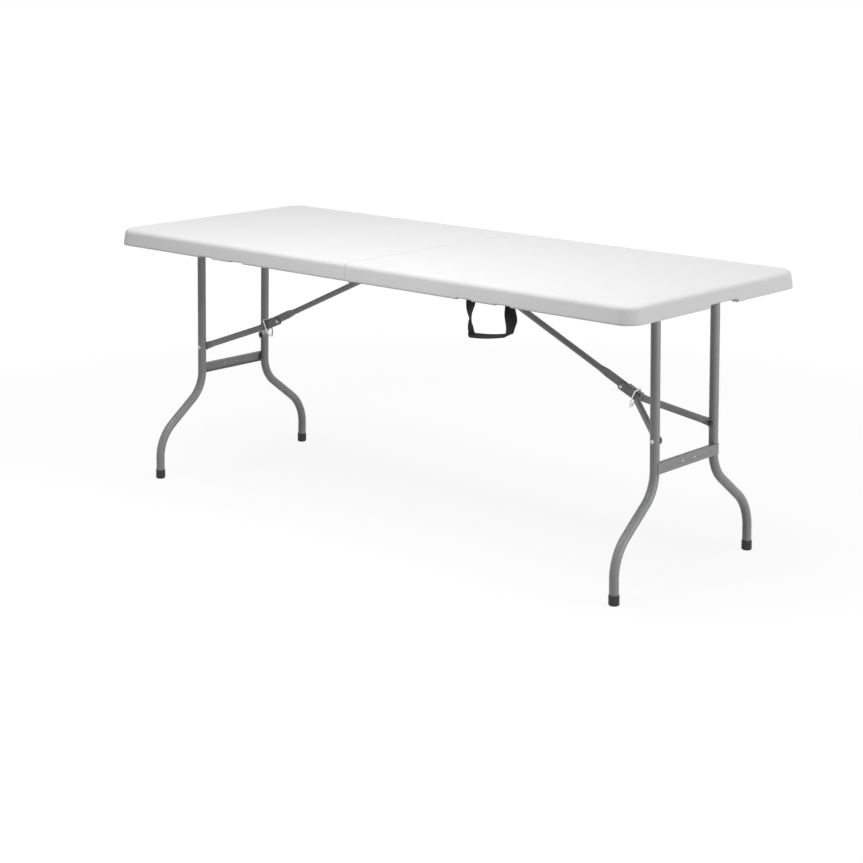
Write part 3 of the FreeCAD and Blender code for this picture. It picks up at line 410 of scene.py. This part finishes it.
def strap_line():
    """Centres, width directions and cupping along the strap, from one clamped end round to the other."""
    ends_low, ends_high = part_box("handle_ends")
    left = ends_low.x + STRAP_WIDTH / 2
    right = ends_high.x - STRAP_WIDTH / 2
    y = (ends_low.y + ends_high.y) / 2
    flex = ends_low.z
    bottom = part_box("handle_strap")[0].z + STRAP_THICKNESS / 2 + STRAP_SAG

    def level(side):
        return bottom + STRAP_TILT * side / 2

    def across(side, turn, lean):
        flat = math.cos(turn)
        return Vector((-side * flat * math.cos(lean), -math.sin(turn), flat * math.sin(lean)))

    def strand(x, side):
        corner = level(side) + STRAP_BEND
        rows = []
        for index in range(STRAND_ROWS + 1):
            z = ends_high.z + (corner - ends_high.z) * index / STRAND_ROWS
            hang = (flex - z) / (flex - corner)
            turn = ease(hang) * STRAP_TURNS[side]
            slack = math.sin(math.pi * min(max(hang, 0.0), 1.0))
            centre = Vector((x + STRAP_BULGE * slack * side, y, z))
            rows.append((centre, across(side, turn, 0.0), STRAP_CUP * slack))
        return rows

    def bend(x, side):
        rows = []
        for index in range(1, CORNER_ROWS):
            lean = math.pi / 2 * index / CORNER_ROWS
            turn = STRAP_TURNS[side] + (STRAP_ROLL - STRAP_TURNS[side]) * ease(index / CORNER_ROWS)
            shift = STRAP_BEND * (1 - math.cos(lean))
            drop = STRAP_BEND * (1 - math.sin(lean))
            rows.append((Vector((x - side * shift, y, level(side) + drop)), across(side, turn, lean), 0.0))
        return rows

    bottom_rows = []
    for index in range(BOTTOM_ROWS + 1):
        share = index / BOTTOM_ROWS
        x = left + STRAP_BEND + (right - left - 2 * STRAP_BEND) * share
        z = level(2 * share - 1) - STRAP_SAG * math.sin(math.pi * share)
        bottom_rows.append((Vector((x, y, z)), across(1, STRAP_ROLL, math.pi / 2), 0.0))
    return strand(left, -1) + bend(left, -1) + bottom_rows + bend(right, 1)[::-1] + strand(right, 1)[::-1]


def strap_mesh():
    """The strip swept along the strap's line, with the weave laid out by its width and length."""
    rows = strap_line()
    section = list(SECTION_SHARES) + [(wide, -thin) for wide, thin in SECTION_SHARES[::-1]]
    count = len(section)
    vertices = []
    lengths = []
    travelled = 0.0
    for index, (centre, wide, cup) in enumerate(rows):
        before = rows[max(index - 1, 0)][0]
        after = rows[min(index + 1, len(rows) - 1)][0]
        thin = (after - before).cross(wide).normalized()
        travelled += (centre - before).length
        lengths.append(travelled)
        for wide_share, thin_share in section:
            # A third is the mean of the square, so a cupped strip keeps to its line
            rise = thin_share * STRAP_THICKNESS / 2 + cup * (wide_share ** 2 - 1 / 3)
            vertices.append(centre + wide * (wide_share * STRAP_WIDTH / 2) + thin * rise)
    faces = []
    marks = []
    for row in range(len(rows) - 1):
        start, end = lengths[row], lengths[row + 1]
        for point in range(count):
            following = (point + 1) % count
            faces.append((row * count + point, row * count + following,
                          (row + 1) * count + following, (row + 1) * count + point))
            near = section[point][0] * STRAP_WIDTH / 2
            far = section[following][0] * STRAP_WIDTH / 2
            marks += [(near, start), (far, start), (far, end), (near, end)]
    last = (len(rows) - 1) * count
    faces.append(list(range(count))[::-1])
    faces.append(list(range(last, last + count)))
    marks += [(0.0, lengths[0])] * count + [(0.0, lengths[-1])] * count
    mesh = bpy.data.meshes.new("carry_strap")
    mesh.from_pydata(vertices, [], faces)
    layer = mesh.uv_layers.new(name="weave")
    for corner, mark in zip(layer.data, marks):
        corner.uv = mark
    mesh.shade_smooth()
    mesh.set_sharp_from_angle(angle=SHARP_ANGLE)
    mesh.update()
    return mesh


def carry_strap(material):
    """The webbing strap, swept in place of the CAD strap and its clamped ends."""
    strap = linked("carry_strap", strap_mesh())
    strap.data.materials.append(material)
    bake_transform(strap)
    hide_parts("handle_strap", "handle_ends")


def weld_curve(name, middle, radius):
    """A rippled bead along the line where an upright tube meets a level one of the same radius."""
    curve = bpy.data.curves.new(name, "CURVE")
    curve.dimensions = "3D"
    curve.bevel_depth = BEAD_RADIUS
    curve.bevel_resolution = BEAD_ROUNDNESS
    spline = curve.splines.new("POLY")
    spline.points.add(BEAD_POINTS - 1)
    for index, point in enumerate(spline.points):
        turn = 2 * math.pi * index / BEAD_POINTS
        x = radius * math.cos(turn)
        drop = math.sqrt(max(radius ** 2 - x ** 2, 0.0))
        point.co = (middle.x + x, middle.y + radius * math.sin(turn), middle.z - drop, 1.0)
        point.radius = 1.0 + BEAD_RIPPLE_SHARE * math.sin(turn * BEAD_RIPPLES)
    spline.use_cyclic_u = True
    return curve


def weld_beads(material):
    """A bead round the head of each leg, where it meets the cross tube."""
    for side in ("left", "right"):
        tube_low, tube_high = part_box(side + "_leg_cross_tube")
        axis = (tube_low + tube_high) / 2
        radius = (tube_high.x - tube_low.x) / 2
        for place in ("front", "back"):
            leg_low, leg_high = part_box(f"{side}_{place}_leg")
            leg_y = (leg_high.y - radius) if place == "front" else (leg_low.y + radius)
            curve = weld_curve(f"{side}_{place}_leg_weld", Vector((axis.x, leg_y, axis.z)), radius)
            curve.materials.append(material)
            bead = linked(curve.name, curve)
            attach(bead, side + "_legs")


def pale_floor():
    """A floor that takes soft shadows and fades to white away from the table."""
    graph = material_graph("pale_floor")
    graph.tree.nodes.remove(graph.tree.nodes["Principled BSDF"])
    plain = graph.add("ShaderNodeBsdfDiffuse", {"Color": grey(FLOOR_COLOUR)}).outputs[0]
    kept = graph.add("ShaderNodeBsdfDiffuse", {"Color": grey(FLOOR_COLOUR * FLOOR_KEEP_SHARE)}).outputs[0]
    reach = graph.vector("LENGTH", "Value", graph.place())
    level = graph.range(reach, FLOOR_GLOW, 1.0, (FLOOR_NEAR, FLOOR_FAR), interpolation_type="SMOOTHSTEP")
    glow = graph.add("ShaderNodeEmission", {"Strength": level}).outputs[0]
    seen = graph.add("ShaderNodeAddShader", {0: kept, 1: glow}).outputs[0]
    choice = graph.add("ShaderNodeMixShader", {0: graph.white_rays(), 1: plain, 2: seen}).outputs[0]
    graph.set(graph.tree.nodes["Material Output"], "Surface", choice)
    return graph.owner


def floor():
    """A wide level plane under the feet."""
    half = FLOOR_SIZE / 2
    corners = [(-half, -half, 0), (half, -half, 0), (half, half, 0), (-half, half, 0)]
    mesh = bpy.data.meshes.new("floor")
    mesh.from_pydata(corners, [], [(0, 1, 2, 3)])
    mesh.materials.append(pale_floor())
    plane = linked("floor", mesh)


def world():
    """A white background that lights the table only a little."""
    graph = Graph(bpy.data.worlds.new("white_room"))
    background = graph.tree.nodes["Background"]
    graph.set(background, "Color", grey(1.0))
    graph.set(background, "Strength", graph.range(graph.white_rays(), WORLD_LIGHT, 1.0, (0.0, 1.0)))
    bpy.context.scene.world = graph.owner


def lights():
    """Square lamps, each turned towards its aim."""
    for name, place, aim, size, power in LAMPS:
        data = bpy.data.lights.new(name, "AREA")
        data.shape = "SQUARE"
        data.size = size
        data.energy = power
        lamp = linked(name, data)
        lamp.location = place
        lamp.rotation_euler = (Vector(aim) - Vector(place)).to_track_quat("-Z", "Y").to_euler()


def camera():
    """The photograph's point of view."""
    data = bpy.data.cameras.new("camera")
    data.sensor_width = SENSOR_WIDTH
    data.lens = FOCAL_PIXELS / IMAGE_PIXELS * SENSOR_WIDTH
    right = Vector((math.cos(CAMERA_YAW), math.sin(CAMERA_YAW), 0))
    ahead = Vector((-math.sin(CAMERA_YAW) * math.cos(CAMERA_PITCH),
                    math.cos(CAMERA_YAW) * math.cos(CAMERA_PITCH), -math.sin(CAMERA_PITCH)))
    up = right.cross(ahead)
    rolled_right = right * math.cos(CAMERA_ROLL) + up * math.sin(CAMERA_ROLL)
    rolled_up = up * math.cos(CAMERA_ROLL) - right * math.sin(CAMERA_ROLL)
    turn = Matrix((rolled_right, rolled_up, -ahead)).transposed()
    holder = linked("camera", data)
    holder.matrix_world = Matrix.Translation(CAMERA_PLACE) @ turn.to_4x4()
    bpy.context.scene.camera = holder


finishes = {
    "moulded_top": moulded_plastic(),
    "grey_steel": powder_coat(),
    "zinc": zinc_plate("zinc_plate", ZINC_TONES),
    "ring": zinc_plate("bright_zinc_wire", WIRE_TONES),
    "black_plastic": black_plastic(),
    "foot_cap": ribbed_plastic(),
    "strap": webbing(),
}
dress_nodes(finishes)
carry_strap(finishes["strap"])
weld_beads(finishes["grey_steel"])
floor()
world()
lights()
camera()
bpy.context.scene.view_settings.view_transform = "Standard"
